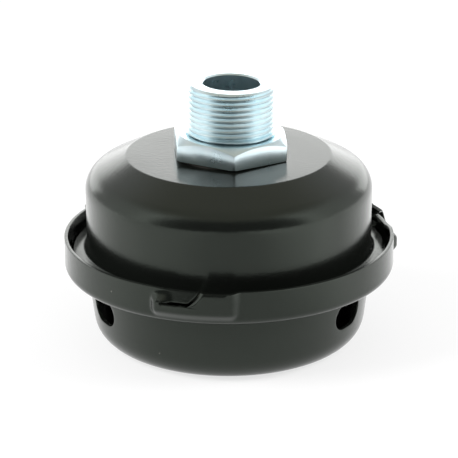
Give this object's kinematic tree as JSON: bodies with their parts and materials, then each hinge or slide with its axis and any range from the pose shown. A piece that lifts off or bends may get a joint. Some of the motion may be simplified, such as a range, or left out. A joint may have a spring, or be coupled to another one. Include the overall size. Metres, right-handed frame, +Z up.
{
  "type": "compressor intake air filter",
  "caption": "Canister intake filter for an air compressor: black pressed bell and twist-lock pan with side air holes, pleated element inside, zinc-plated male pipe nipple on top.",
  "frame": {"origin": "centre of the pan's flat underside, which the filter stands on", "axes": "+Z up along the filter's axis towards the nipple's thread; -Y faces the first pocket of the twist lock"},
  "size_m": [0.0985, 0.0987, 0.0777],
  "materials": {
    "black_paint": "satin black stove enamel",
    "zinc_plate": "bright zinc plating with a bluish tint",
    "steel": "plain zinc-plated washer and nut",
    "fibre": "black fibre-reinforced rubber",
    "cap_rubber": "moulded polyurethane, matt",
    "core_steel": "galvanised perforated sheet",
    "filter_paper": "resin-treated cellulose filter paper",
    "foam": "charcoal open-cell foam"
  },
  "bodies": {
    "pan": {"lower_pan": "black_paint"},
    "cartridge": {"bottom_cap": "cap_rubber", "top_cap": "cap_rubber", "core_tube": "core_steel", "pleated_media": "filter_paper", "foam_wrap": "foam"},
    "bell": {"bell_housing": "black_paint", "inlet_nipple": "zinc_plate", "sealing_washer": "fibre", "backing_washer": "steel", "lock_nut": "steel"}
  },
  "joints": [
    {"name": "bayonet_twist", "type": "hinge", "parent": "pan", "child": "cartridge", "pos_m": [0, 0, 0.027], "axis": [0, 0, 1], "range_deg": [-16.5, 0]},
    {"name": "bell_lift", "type": "slide", "parent": "cartridge", "child": "bell", "axis": [0, 0, 1], "range_m": [0, 0.07]}
  ]
}
